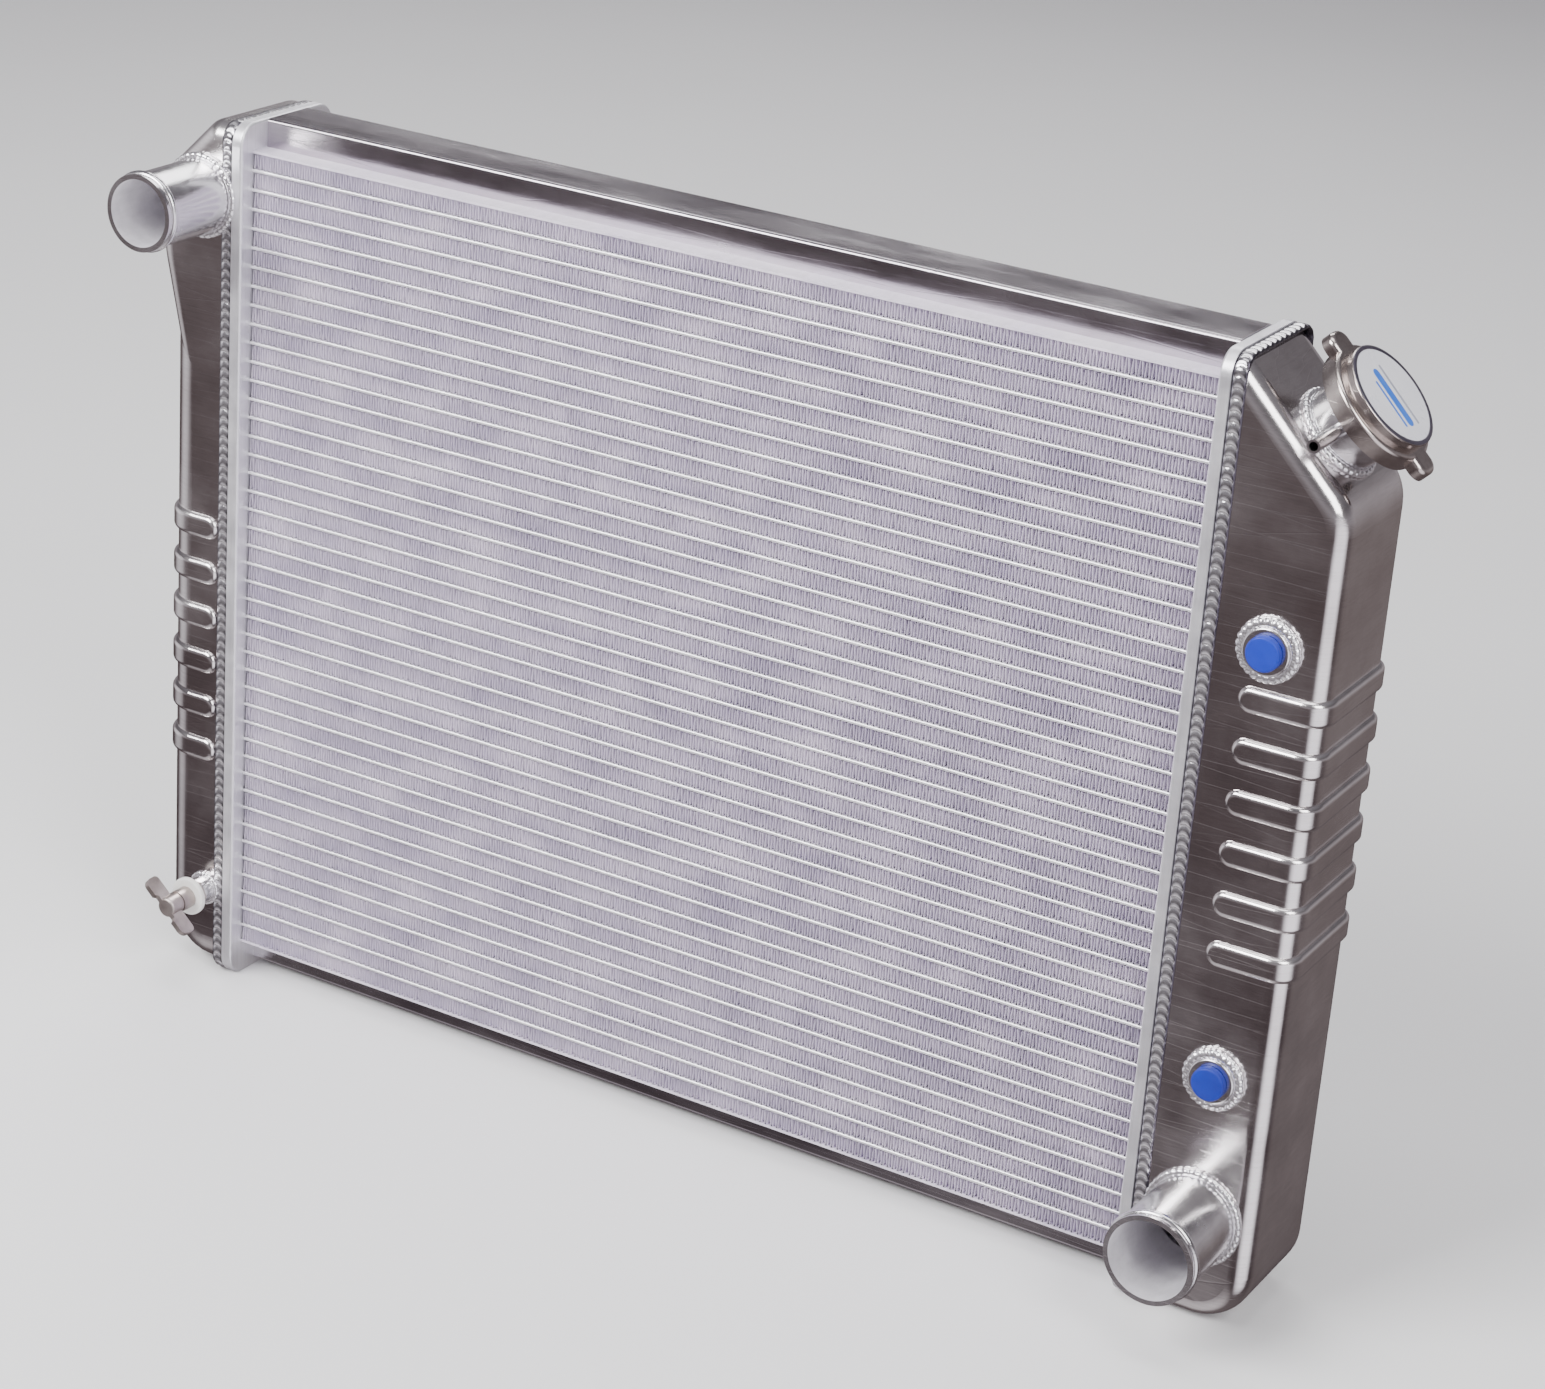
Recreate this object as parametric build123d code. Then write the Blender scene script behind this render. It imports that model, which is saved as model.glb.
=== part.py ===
from build123d import *
import math
import os

# Crossflow aluminium car radiator with a tube-and-fin core and a welded tank on each side.
# Millimetres. +X across the core, -Y towards the side that carries the hose necks, +Z up.
# Sizes marked "from header" are measured outwards from the core side of a header plate.

# Core
core_width = 533.0
tube_count = 43
tube_pitch = 10.0
tube_height = 2.0
tube_width = 25.4
tube_wall = 0.35
tube_row_gap = 6.2
tube_stand_out = 2.0
fin_folds = 30
fin_thickness = 0.3
side_plate_thickness = 1.2

# Channels above and below the core
channel_width = 34.0
channel_height = 14.3
channel_wall = 2.0
channel_corner = 1.8
header_foot = 4.5

# Headers and the seam to the tanks
header_depth = 75.0
header_rim = 6.0
header_wall = 2.0
header_corner = 11.5
header_edge = 1.5
seam_width = 7.0
seam_height = 1.5
seam_round = 1.35

# Tanks
tank_wall = 2.5
tank_edge = 10.0
right_reach = 68.0
right_slope_start = 8.0
right_slope_radius = 10.5
right_knee_radius = 26.0
right_foot_radius = 28.0
left_reach = 48.5
left_edge = 18.0
left_shoulder_reach = 54.5
left_slope_start = 22.0
left_shoulder_z = 400.0
left_taper_z = 332.0
left_taper_reach = 38.5
rib_count = 6
rib_spacing = 25.2
rib_width = 13.0
rib_height = 2.4
rib_round = 3.0
right_rib_start = 27.0
right_rib_z = 318.5
left_rib_start = 13.0
left_rib_z = 256.0

# Hose necks
neck_wall = 2.0
neck_length = 49.5
neck_bead = 1.5
neck_bead_setback = 5.0
neck_bead_round = 1.95
neck_lip_height = 0.5
neck_lip_length = 1.2
upper_neck_radius = 19.05
upper_neck_from_header = 26.0
upper_neck_z = 433.0
lower_neck_radius = 22.225
lower_neck_from_header = 37.0
lower_neck_z = 55.5
weld_width = 3.5
weld_root = 2.0
drain_weld_width = 2.45
weld_toe = 0.25
weld_crown_out = 0.7
weld_crown_up = 0.75

# Oil cooler ports and their transport plugs
port_from_header = 39.0
upper_port_z = 344.0
lower_port_z = 130.0
port_radius = 11.5
port_bore = 6.5
port_height = 5.0
port_round = 1.2
port_weld_width = 4.8
plug_radius = 8.35
plug_head = 3.6
plug_stem_length = 9.0
plug_wall = 1.4
cooler_radius = 10.0
cooler_wall = 1.5
cooler_stub_root = 9.0
cooler_overrun = 16.0

# Filler neck, pressure cap and overflow nipple; heights are above the sloping tank face
filler_down_slope = 8.0
filler_radius = 20.0
filler_wall = 2.0
filler_lip_radius = 26.5
filler_lip_top = 22.0
filler_lip_thickness = 1.5
seat_height = 4.0
seat_thickness = 1.6
seat_hole = 12.0
nipple_radius = 3.2
nipple_bore = 2.1
nipple_height = 14.2
nipple_length = 36.0
cap_radius = 29.5
cap_sheet = 1.5
cap_skirt_height = 9.1
cap_shoulder_round = 2.1
cap_plate_height = 3.8
cap_dome_radius = 25.6
cap_dome_height = 4.3
cap_dome_round = 0.9
cap_label_radius = 24.0
cap_label_thickness = 0.8
cap_ear_reach = 37.5
cap_ear_width = 15.0
cap_ear_height = 6.5
cap_ear_corner = 6.0
cap_ear_round = 2.6
cap_gasket_radius = 25.5
cap_gasket_thickness = 1.2
diaphragm_radius = 26.0
diaphragm_thickness = 0.8
rivet_radius = 3.0
valve_radius = 16.0
valve_thickness = 1.5
valve_seal_radius = 15.5
valve_seal_thickness = 2.0
valve_travel = 3.0
valve_stem_radius = 3.0
spring_radius = 10.0
spring_wire = 1.6
spring_turns = 4

# Drain petcock
petcock_from_header = 19.0
petcock_z = 48.5
bung_radius = 7.5
bung_bore = 5.0
bung_height = 9.0
petcock_collar_radius = 8.5
petcock_collar = 4.0
petcock_barrel_radius = 6.0
petcock_barrel = 11.0
washer_radius = 10.5
washer_thickness = 2.5
washer_round = 1.0
stem_radius = 2.8
stem_tip = 6.0
stem_tip_radius = 1.12
hub_radius = 5.5
hub_height = 9.0
hub_round = 1.5
wing_reach = 18.0
wing_thickness = 3.0
wing_bottom = 1.5
wing_rise = 2.0
wing_bottom_round = 2.5
wing_top_round = 4.0
wing_dip_flare = 2.0
wing_dip_round = 1.5
wing_angle = -42.0

running_gap = 0.3
tolerance = 1e-3

# Derived places
fin_height = tube_pitch - tube_height
core_depth = 2 * tube_width + tube_row_gap
core_height = tube_count * tube_pitch + fin_height
plate_bottom = header_foot + channel_height
core_bottom = plate_bottom + side_plate_thickness
first_tube_z = core_bottom + fin_height + tube_height / 2
core_top = core_bottom + core_height
header_height = core_top + side_plate_thickness + channel_height
header_x = core_width / 2
tank_depth = header_depth - 2 * seam_height
tank_front = -tank_depth / 2
tank_bottom = seam_height
tank_top = header_height - seam_height
overlap = 1.0
miter = math.tan(math.pi / 8)
tank_spare = 10.0
tank_near = header_rim - tank_spare


def place(shape, x, y, z):
    return Pos(x, y, z) * shape


def ring(outer, inner, bottom, top):
    """Round tube on the Z axis between two heights."""
    tube = Cylinder(outer, top - bottom) - Cylinder(inner, top - bottom + 2 * overlap)
    return Pos(0, 0, (bottom + top) / 2) * tube


def disc(radius, bottom, top):
    return Pos(0, 0, (bottom + top) / 2) * Cylinder(radius, top - bottom)


def block(low, high):
    size = [h - l for l, h in zip(low, high)]
    middle = [(h + l) / 2 for l, h in zip(low, high)]
    return Pos(*middle) * Box(*size)


def outline(points, radii):
    """Closed flat outline with a radius at each corner; 0 leaves it sharp."""
    face = make_face(Polyline(*points, close=True))
    for point, radius in zip(points, radii):
        if radius > 0:
            face = fillet(face.vertices().sort_by_distance((point[0], point[1], 0))[0], radius)
    return face


def front_place(from_header, z, side):
    """Plane on a tank's front face: its z axis points out, away from the tank."""
    x = side * (header_x + from_header)
    return Plane(origin=(x, tank_front, z), x_dir=(1, 0, 0), z_dir=(0, -1, 0))


def weld_ring(radius, width):
    """Fillet weld round a stub, sunk a little below height 0 so that it can be cut to its tank."""
    profile = Polyline(
        (radius, -weld_root),
        (radius + width, -weld_root),
        (radius + width, width * weld_toe),
        (radius + width * weld_crown_out, width * weld_crown_up),
        (radius, width),
        close=True,
    )
    return revolve(Plane.XZ * make_face(profile), Axis.Z)


# Core -----------------------------------------------------------------------------------

def flat_tube():
    length = core_width + 2 * (header_wall + tube_stand_out)
    outer = SlotOverall(tube_width, tube_height)
    inner = SlotOverall(tube_width - 2 * tube_wall, tube_height - 2 * tube_wall)
    section = Plane(origin=(-length / 2, 0, 0), x_dir=(0, 1, 0), z_dir=(1, 0, 0)) * (outer - inner)
    return extrude(section, length)


def tube_row(y):
    tube = flat_tube()
    return [place(tube, 0, y, first_tube_z + i * tube_pitch) for i in range(tube_count)]


def fin_strip():
    """One folded strip, the height of the gap between two tubes."""
    half_pitch = core_width / fin_folds / 2
    lean = math.atan2(fin_height, half_pitch)
    half_sheet = fin_thickness / 2 / math.cos(lean)
    crest = fin_height / 2 - half_sheet
    start = -core_width / 2
    peaks = [(start + i * half_pitch, crest if i % 2 else -crest) for i in range(2 * fin_folds + 1)]
    upper = [(x, z + half_sheet) for x, z in peaks]
    lower = [(x, z - half_sheet) for x, z in reversed(peaks)]
    face = Plane.XZ * make_face(Polyline(*upper, *lower, close=True))
    return extrude(face, core_depth / 2, both=True)


def fin_stack():
    strip = fin_strip()
    first = core_bottom + fin_height / 2
    return [place(strip, 0, 0, first + i * tube_pitch) for i in range(tube_count + 1)]


def side_plate(z):
    return place(Box(core_width, core_depth, side_plate_thickness), 0, 0, z)


def channel(base_z, direction):
    """Folded channel, its open side against the side plate."""
    outer = Box(core_width, channel_width, channel_height)
    inner = Box(core_width + 2 * overlap, channel_width - 2 * channel_wall, channel_height)
    shape = outer - Pos(0, 0, -direction * channel_wall) * inner
    edges = shape.edges().filter_by(Axis.X).sort_by(Axis.Z)
    corner_edges = edges[-2:] if direction > 0 else edges[:2]
    shape = fillet(corner_edges, channel_corner)
    return place(shape, 0, 0, base_z + direction * channel_height / 2)


# Headers, seams and tanks, drawn on the right and mirrored for the left ------------------

def header():
    section = Plane(origin=(header_x, 0, header_height / 2), x_dir=(0, 1, 0), z_dir=(1, 0, 0))
    pan = extrude(section * RectangleRounded(header_depth, header_height, header_corner), header_rim)
    pan = fillet(pan.faces().sort_by(Axis.X)[0].outer_wire().edges(), header_edge)
    inner = RectangleRounded(
        header_depth - 2 * header_wall, header_height - 2 * header_wall, header_corner - header_wall
    )
    hollow = extrude(section.location * Pos(0, 0, header_wall) * inner, header_rim)
    slot = Plane(origin=(header_x - overlap, 0, 0), x_dir=(0, 1, 0), z_dir=(1, 0, 0)) * SlotOverall(
        tube_width, tube_height
    )
    slot = extrude(slot, header_wall + 2 * overlap)
    row_y = (tube_width + tube_row_gap) / 2
    slots = [
        place(slot, 0, y, first_tube_z + i * tube_pitch)
        for i in range(tube_count)
        for y in (-row_y, row_y)
    ]
    return pan - hollow - slots


def seam(tank):
    """Weld bead that closes the joint between header rim and tank."""
    face = Plane(origin=(header_x + header_rim, 0, header_height / 2), x_dir=(0, 1, 0), z_dir=(1, 0, 0))
    bead = extrude(face * RectangleRounded(header_depth, header_height, header_corner), seam_width)
    bead = fillet(bead.faces().sort_by(Axis.X)[-1].outer_wire().edges(), seam_round)
    inner = RectangleRounded(
        tank_depth - 2 * tank_wall, tank_top - tank_bottom - 2 * tank_wall, tank_edge - tank_wall
    )
    hollow = extrude(face.location * Pos(0, 0, -overlap) * inner, seam_width + 2 * overlap)
    return bead - hollow - tank


def tank_block(points, radii, depth, edge, inset=0.0):
    """Slab with the side outline given, rounded round its outer edges; inset makes its inside."""
    shifted = outline([(header_x + u, z) for u, z in points], radii)
    if inset:
        shifted = offset(shifted, -inset)
    slab = extrude(Plane.XZ * shifted, depth / 2 - inset, both=True)
    header_side = slab.bounding_box().min.X
    rims = slab.edges().filter_by(lambda e: abs(abs(e.center().Y) - depth / 2 + inset) < tolerance)
    rims = rims.filter_by(lambda e: e.bounding_box().max.X > header_side + tolerance)
    return fillet(rims, edge - inset)


def trim(shape):
    """Cuts a tank block where it meets the header rim."""
    low = (header_x + tank_near - overlap, -header_depth, -header_depth)
    return shape - block(low, (header_x + header_rim, header_depth, header_height + header_depth))


def right_outline(grow=0.0):
    slope_end = tank_top - (right_reach - right_slope_start)
    points = [
        (tank_near, tank_bottom - grow),
        (tank_near, tank_top + grow),
        (right_slope_start, tank_top + grow),
        (right_reach + grow, slope_end + grow * miter),
        (right_reach + grow, tank_bottom - grow),
    ]
    return points, [0, 0, right_slope_radius, right_knee_radius, right_foot_radius]


def left_outline(grow=0.0):
    slope_end = tank_top - (left_reach - left_slope_start)
    points = [
        (tank_near, tank_bottom - grow),
        (tank_near, tank_top + grow),
        (left_slope_start, tank_top + grow),
        (left_reach + grow, slope_end + grow * miter),
        (left_reach + grow, tank_bottom - grow),
    ]
    return points, [0, 0, tank_edge, left_edge, right_foot_radius]


def shoulder_outline():
    slope_end = tank_top - (left_shoulder_reach - left_slope_start)
    points = [
        (tank_near, left_taper_z - left_taper_reach),
        (tank_near, tank_top),
        (left_slope_start, tank_top),
        (left_shoulder_reach, slope_end),
        (left_shoulder_reach, left_shoulder_z),
        (left_taper_reach, left_taper_z),
    ]
    return points, [0, 0, tank_edge, left_edge, left_shoulder_reach, tank_edge]


def ribs(outline_of, edge, start, top_z):
    """Pressed pads that run out along the front face, round the tank and back along the rear face."""
    points, radii = outline_of(rib_height)
    grown = tank_block(points, radii, tank_depth + 2 * rib_height, edge + rib_height)
    bars = []
    for i in range(rib_count):
        length = 2 * right_reach
        middle = (header_x + start + length / 2, top_z - i * rib_spacing)
        face = Plane.XZ * Pos(*middle) * SlotOverall(length, rib_width)
        bar = grown & extrude(face, header_depth, both=True)
        bars.append(fillet(bar.edges(), rib_round))
    return bars


def right_tank():
    points, radii = right_outline()
    outer = trim(tank_block(points, radii, tank_depth, tank_edge))
    inner = tank_block(points, radii, tank_depth, tank_edge, tank_wall)
    solid = outer + ribs(right_outline, tank_edge, right_rib_start, right_rib_z)
    return solid - inner, outer


def left_tank():
    points, radii = left_outline()
    shoulder, shoulder_radii = shoulder_outline()
    outer = tank_block(points, radii, tank_depth, left_edge)
    outer = trim(outer + tank_block(shoulder, shoulder_radii, tank_depth, tank_edge))
    inner = tank_block(points, radii, tank_depth, left_edge, tank_wall)
    inner = inner + tank_block(shoulder, shoulder_radii, tank_depth, tank_edge, tank_wall)
    solid = outer + ribs(left_outline, left_edge, left_rib_start, left_rib_z)
    return solid - inner, outer


# Fittings, each drawn on its own axis with height 0 at the tank's outer face --------------

def hose_neck(radius):
    tube = disc(radius, -tank_wall, neck_length)
    crest = neck_length - neck_bead_setback
    bead = Pos(0, 0, crest) * Torus(radius + neck_bead - neck_bead_round, neck_bead_round)
    lip = ring(radius + neck_lip_height, radius - neck_wall, neck_length - neck_lip_length, neck_length)
    return tube + bead + lip - disc(radius - neck_wall, -2 * tank_wall, neck_length + overlap)


def port():
    body = ring(port_radius, port_bore, -tank_wall, port_height)
    return fillet(body.faces().sort_by(Axis.Z)[-1].outer_wire().edges(), port_round)


def port_plug():
    base = port_height + running_gap
    head = fillet(disc(plug_radius, base, base + plug_head).faces().sort_by(Axis.Z)[-1].edges(), port_round)
    stem = disc(port_bore - running_gap, base - plug_stem_length, base + plug_wall)
    bore = disc(port_bore - running_gap - plug_wall, base - plug_stem_length - overlap, base + plug_wall)
    return head + stem - bore


def oil_cooler():
    """Closed double tube inside the right tank, joined to both ports."""
    x = header_x + port_from_header
    low = lower_port_z - cooler_overrun
    high = upper_port_z + cooler_overrun
    shell = disc(cooler_radius, low, high)
    shell = shell - disc(cooler_radius - cooler_wall, low + cooler_wall, high - cooler_wall)
    inner = tank_front + tank_wall
    for z in (lower_port_z, upper_port_z):
        stub = Plane(origin=(0, -cooler_stub_root, z), z_dir=(0, -1, 0))
        reach = -inner - cooler_stub_root
        shell = shell + extrude(stub * Circle(port_bore + cooler_wall), reach)
        way_in = Plane(origin=(0, 0, z), z_dir=(0, -1, 0))
        shell = shell - extrude(way_in * Circle(port_bore), -inner + overlap)
    return place(shell, x, 0, 0)


def filler_neck():
    inner = filler_radius - filler_wall
    tube = ring(filler_radius, inner, -tank_wall, filler_lip_top)
    lip = ring(filler_lip_radius, inner, filler_lip_top - filler_lip_thickness, filler_lip_top)
    seat = ring(filler_radius, seat_hole, seat_height - seat_thickness, seat_height)
    bore = extrude(nipple_plane() * Circle(nipple_radius), -filler_radius)
    return tube + lip + seat - bore


def nipple_plane():
    """The nipple leaves the filler neck sideways, towards the front."""
    return Plane(origin=(0, -filler_radius, nipple_height), z_dir=(0, -1, 0))


def overflow_nipple():
    root = math.sqrt((filler_radius - filler_wall) ** 2 - nipple_radius**2)
    start = Plane(origin=(0, -root, nipple_height), z_dir=(0, -1, 0))
    section = Circle(nipple_radius) - Circle(nipple_bore)
    return extrude(start * section, nipple_length)


cap_plate = filler_lip_top + cap_plate_height
cap_top = cap_plate + cap_sheet + cap_dome_height


def cap_shell():
    """Pressed cap: skirt, flat plate, raised centre with a rim round the label, and two ears."""
    edge = cap_plate + cap_sheet
    skirt = disc(cap_radius, edge - cap_skirt_height, edge)
    skirt = fillet(skirt.faces().sort_by(Axis.Z)[-1].edges(), cap_shoulder_round)
    ears = Pos(0, 0, edge - cap_ear_height / 2) * Box(2 * cap_ear_reach, cap_ear_width, cap_ear_height)
    ears = fillet(ears.edges().filter_by(Axis.Z), cap_ear_corner)
    ears = fillet(ears.faces().sort_by(Axis.Z)[-1].edges(), cap_ear_round)
    rim = cap_top + cap_label_thickness
    dome = disc(cap_dome_radius, edge - overlap, rim)
    dome = fillet(dome.faces().sort_by(Axis.Z)[-1].edges(), cap_dome_round)
    solid = skirt + ears + dome
    solid = solid - disc(cap_label_radius + running_gap, cap_top, rim + overlap)
    solid = solid - disc(cap_radius - cap_sheet, edge - cap_skirt_height - overlap, cap_plate)
    return solid - disc(cap_dome_radius - cap_sheet, cap_plate - overlap, cap_top - cap_sheet)


def cap_label():
    return disc(cap_label_radius, cap_top, cap_top + cap_label_thickness)


gasket_bottom = filler_lip_top + running_gap
diaphragm_bottom = gasket_bottom + cap_gasket_thickness
seal_bottom = seat_height + running_gap
valve_bottom = seal_bottom + valve_seal_thickness
spring_bottom = valve_bottom + valve_thickness
spring_top = gasket_bottom - valve_travel - running_gap


def cap_gasket():
    return ring(cap_gasket_radius, rivet_radius, gasket_bottom, diaphragm_bottom)


def cap_diaphragm():
    return ring(diaphragm_radius, rivet_radius, diaphragm_bottom, diaphragm_bottom + diaphragm_thickness)


def cap_rivet():
    return disc(rivet_radius, gasket_bottom, cap_top - cap_sheet - running_gap)


def valve_seal():
    return ring(valve_seal_radius, valve_stem_radius, seal_bottom, valve_bottom)


def pressure_valve():
    stem = disc(valve_stem_radius, seal_bottom, spring_top - overlap)
    return stem + disc(valve_radius, valve_bottom, spring_bottom)


def valve_spring():
    """Stack of rings at the spring's working length."""
    step = (spring_top - spring_bottom - spring_wire) / spring_turns
    wire = Torus(spring_radius, spring_wire / 2)
    return [Pos(0, 0, spring_bottom + spring_wire / 2 + i * step) * wire for i in range(spring_turns + 1)]


collar_top = bung_height + petcock_collar
washer_top = collar_top + washer_thickness
barrel_top = collar_top + petcock_barrel


def drain_bung():
    return ring(bung_radius, bung_bore, -tank_wall, bung_height)


def petcock_body():
    """Threaded body with a hexagon collar and a barrel that guides the stem."""
    thread = disc(bung_bore, -tank_wall, bung_height)
    collar = extrude(Pos(0, 0, bung_height) * RegularPolygon(petcock_collar_radius, 6), petcock_collar)
    barrel = disc(petcock_barrel_radius, collar_top, barrel_top)
    return thread + collar + barrel - disc(stem_radius + running_gap, -2 * tank_wall, barrel_top + overlap)


def petcock_washer():
    washer = ring(washer_radius, petcock_barrel_radius, collar_top, washer_top)
    return fillet(washer.faces().sort_by(Axis.Z)[-1].outer_wire().edges(), washer_round)


def petcock_stem():
    top = barrel_top + running_gap
    cone = Pos(0, 0, -tank_wall + stem_tip / 2) * Cone(stem_tip_radius, stem_radius, stem_tip)
    return cone + disc(stem_radius, -tank_wall + stem_tip, top)


def petcock_handle():
    base = barrel_top + running_gap
    hub = disc(hub_radius, base, base + hub_height)
    hub = fillet(hub.faces().sort_by(Axis.Z)[-1].edges(), hub_round)
    top = hub_height + wing_rise
    wings = outline(
        [(-wing_reach, wing_bottom), (wing_reach, wing_bottom), (wing_reach, top), (-wing_reach, top)],
        [wing_bottom_round, wing_bottom_round, wing_top_round, wing_top_round],
    )
    low = hub_radius + wing_dip_flare
    high = low + wing_dip_flare
    above = top + wing_dip_flare
    dip = outline(
        [(-low, hub_height), (low, hub_height), (high, above), (-high, above)],
        [wing_dip_round, wing_dip_round, 0, 0],
    )
    blade = extrude(Plane.XZ * (wings - dip), wing_thickness / 2, both=True)
    return Rot(0, 0, wing_angle) * (hub + Pos(0, 0, base) * blade)


# Assembly ---------------------------------------------------------------------------------

slope_middle = (right_slope_start + right_reach) / 2
filler_x = header_x + slope_middle + filler_down_slope / math.sqrt(2)
filler_z = tank_top - (slope_middle - right_slope_start) - filler_down_slope / math.sqrt(2)
filler_plane = Plane(origin=(filler_x, 0, filler_z), x_dir=(1, 0, -1), z_dir=(1, 0, 1))
upper_neck_plane = front_place(upper_neck_from_header, upper_neck_z, -1)
lower_neck_plane = front_place(lower_neck_from_header, lower_neck_z, 1)
upper_port_plane = front_place(port_from_header, upper_port_z, 1)
lower_port_plane = front_place(port_from_header, lower_port_z, 1)
petcock_plane = front_place(petcock_from_header, petcock_z, -1)


def on(plane, shape):
    return plane.location * shape


def hole(plane, radius):
    return on(plane, disc(radius, -2 * tank_wall, 2 * tank_wall))


def filler_hole(tank):
    return tank - on(filler_plane, disc(filler_radius, -3 * tank_wall, 2 * tank_wall))


def assembly():
    row_y = (tube_width + tube_row_gap) / 2
    right, right_outer = right_tank()
    left, left_outer = left_tank()
    right_header = header()
    left_header = mirror(right_header, Plane.YZ)
    right_seam = seam(right_outer)
    left_seam = mirror(seam(left_outer), Plane.YZ)
    left = mirror(left, Plane.YZ)
    left_outer = mirror(left_outer, Plane.YZ)

    right = filler_hole(right) - hole(lower_neck_plane, lower_neck_radius)
    right = right - hole(upper_port_plane, port_radius) - hole(lower_port_plane, port_radius)
    left = left - hole(upper_neck_plane, upper_neck_radius) - hole(petcock_plane, bung_radius)
    upper_neck = on(upper_neck_plane, hose_neck(upper_neck_radius))
    upper_neck_space = on(upper_neck_plane, disc(upper_neck_radius, -tank_wall, neck_length))
    petcock_space = on(petcock_plane, disc(bung_radius, -tank_wall, bung_height))
    left_seam = left_seam - upper_neck_space - petcock_space
    upper_weld = on(upper_neck_plane, weld_ring(upper_neck_radius, weld_width))
    lower_weld = on(lower_neck_plane, weld_ring(lower_neck_radius, weld_width))
    drain_weld = on(petcock_plane, weld_ring(bung_radius, drain_weld_width))
    port_weld = weld_ring(port_radius, port_weld_width)
    left_solids = [left_outer, left_seam, left_header]
    right_solids = [right_outer, right_seam, right_header]

    nodes = {
        "front_tubes": tube_row(-row_y),
        "rear_tubes": tube_row(row_y),
        "cooling_fins": fin_stack(),
        "top_side_plate": side_plate(core_top + side_plate_thickness / 2),
        "bottom_side_plate": side_plate(core_bottom - side_plate_thickness / 2),
        "top_channel": channel(core_top + side_plate_thickness, 1),
        "bottom_channel": channel(core_bottom - side_plate_thickness, -1),
        "left_header": left_header,
        "right_header": right_header,
        "left_tank": left,
        "right_tank": right,
        "left_seam_weld": left_seam,
        "right_seam_weld": right_seam,
        "upper_hose_neck": upper_neck,
        "upper_neck_weld": upper_weld - left_solids,
        "lower_hose_neck": on(lower_neck_plane, hose_neck(lower_neck_radius)),
        "lower_neck_weld": lower_weld - right_solids,
        "upper_cooler_port": on(upper_port_plane, port()),
        "lower_cooler_port": on(lower_port_plane, port()),
        "upper_port_weld": on(upper_port_plane, port_weld) - right_solids,
        "lower_port_weld": on(lower_port_plane, port_weld) - right_solids,
        "upper_port_plug": on(upper_port_plane, port_plug()),
        "lower_port_plug": on(lower_port_plane, port_plug()),
        "oil_cooler": oil_cooler(),
        "filler_neck": on(filler_plane, filler_neck()),
        "filler_weld": on(filler_plane, weld_ring(filler_radius, weld_width)) - right_solids,
        "overflow_nipple": on(filler_plane, overflow_nipple()),
        "cap_shell": on(filler_plane, cap_shell()),
        "cap_label": on(filler_plane, cap_label()),
        "cap_gasket": on(filler_plane, cap_gasket()),
        "cap_diaphragm": on(filler_plane, cap_diaphragm()),
        "cap_rivet": on(filler_plane, cap_rivet()),
        "pressure_valve": on(filler_plane, pressure_valve()),
        "valve_seal": on(filler_plane, valve_seal()),
        "valve_spring": [filler_plane.location * coil for coil in valve_spring()],
        "drain_bung": on(petcock_plane, drain_bung()),
        "drain_weld": drain_weld - left_solids,
        "petcock_body": on(petcock_plane, petcock_body()),
        "petcock_washer": on(petcock_plane, petcock_washer()),
        "petcock_stem": on(petcock_plane, petcock_stem()),
        "petcock_handle": on(petcock_plane, petcock_handle()),
    }
    return {name: Compound(children=solids_of(shape)) for name, shape in nodes.items()}


def solids_of(shape):
    shapes = shape if isinstance(shape, list) else [shape]
    return [solid for item in shapes for solid in item.solids()]


nodes = assembly()
whole = Compound(children=[solid for node in nodes.values() for solid in node.solids()]).bounding_box()
to_base = Pos(-whole.center().X, -whole.center().Y, -whole.min.Z)

os.makedirs("parts", exist_ok=True)
for name, node in nodes.items():
    export_step(to_base * node, f"parts/{name}.step")
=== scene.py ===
"""Aluminium car radiator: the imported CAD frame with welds, dense fins, a printed cap label and
procedural metal, plastic and rubber. Lengths are in metres unless a name ends in MM."""

import math
import random

import bpy
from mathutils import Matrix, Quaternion, Vector


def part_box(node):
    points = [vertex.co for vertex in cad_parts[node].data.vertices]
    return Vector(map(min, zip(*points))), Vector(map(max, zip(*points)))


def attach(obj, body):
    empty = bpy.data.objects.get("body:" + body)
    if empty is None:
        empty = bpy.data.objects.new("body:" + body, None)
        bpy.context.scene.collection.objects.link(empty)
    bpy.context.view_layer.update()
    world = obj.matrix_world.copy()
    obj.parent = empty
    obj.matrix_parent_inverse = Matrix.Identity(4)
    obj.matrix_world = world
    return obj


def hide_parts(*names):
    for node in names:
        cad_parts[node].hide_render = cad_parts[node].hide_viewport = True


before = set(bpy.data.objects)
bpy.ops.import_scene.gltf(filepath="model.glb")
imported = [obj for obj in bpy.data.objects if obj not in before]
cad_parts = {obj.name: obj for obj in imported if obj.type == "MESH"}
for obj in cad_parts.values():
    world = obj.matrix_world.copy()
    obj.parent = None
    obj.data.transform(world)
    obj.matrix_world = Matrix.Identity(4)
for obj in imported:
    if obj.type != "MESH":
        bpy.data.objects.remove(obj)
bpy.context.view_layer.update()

MM = 0.001


# Places read from the frame ---------------------------------------------------------------

def corners(node):
    low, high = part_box(node)
    return Vector(low), Vector(high)


def centre(node):
    low, high = corners(node)
    return (low + high) / 2


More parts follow.
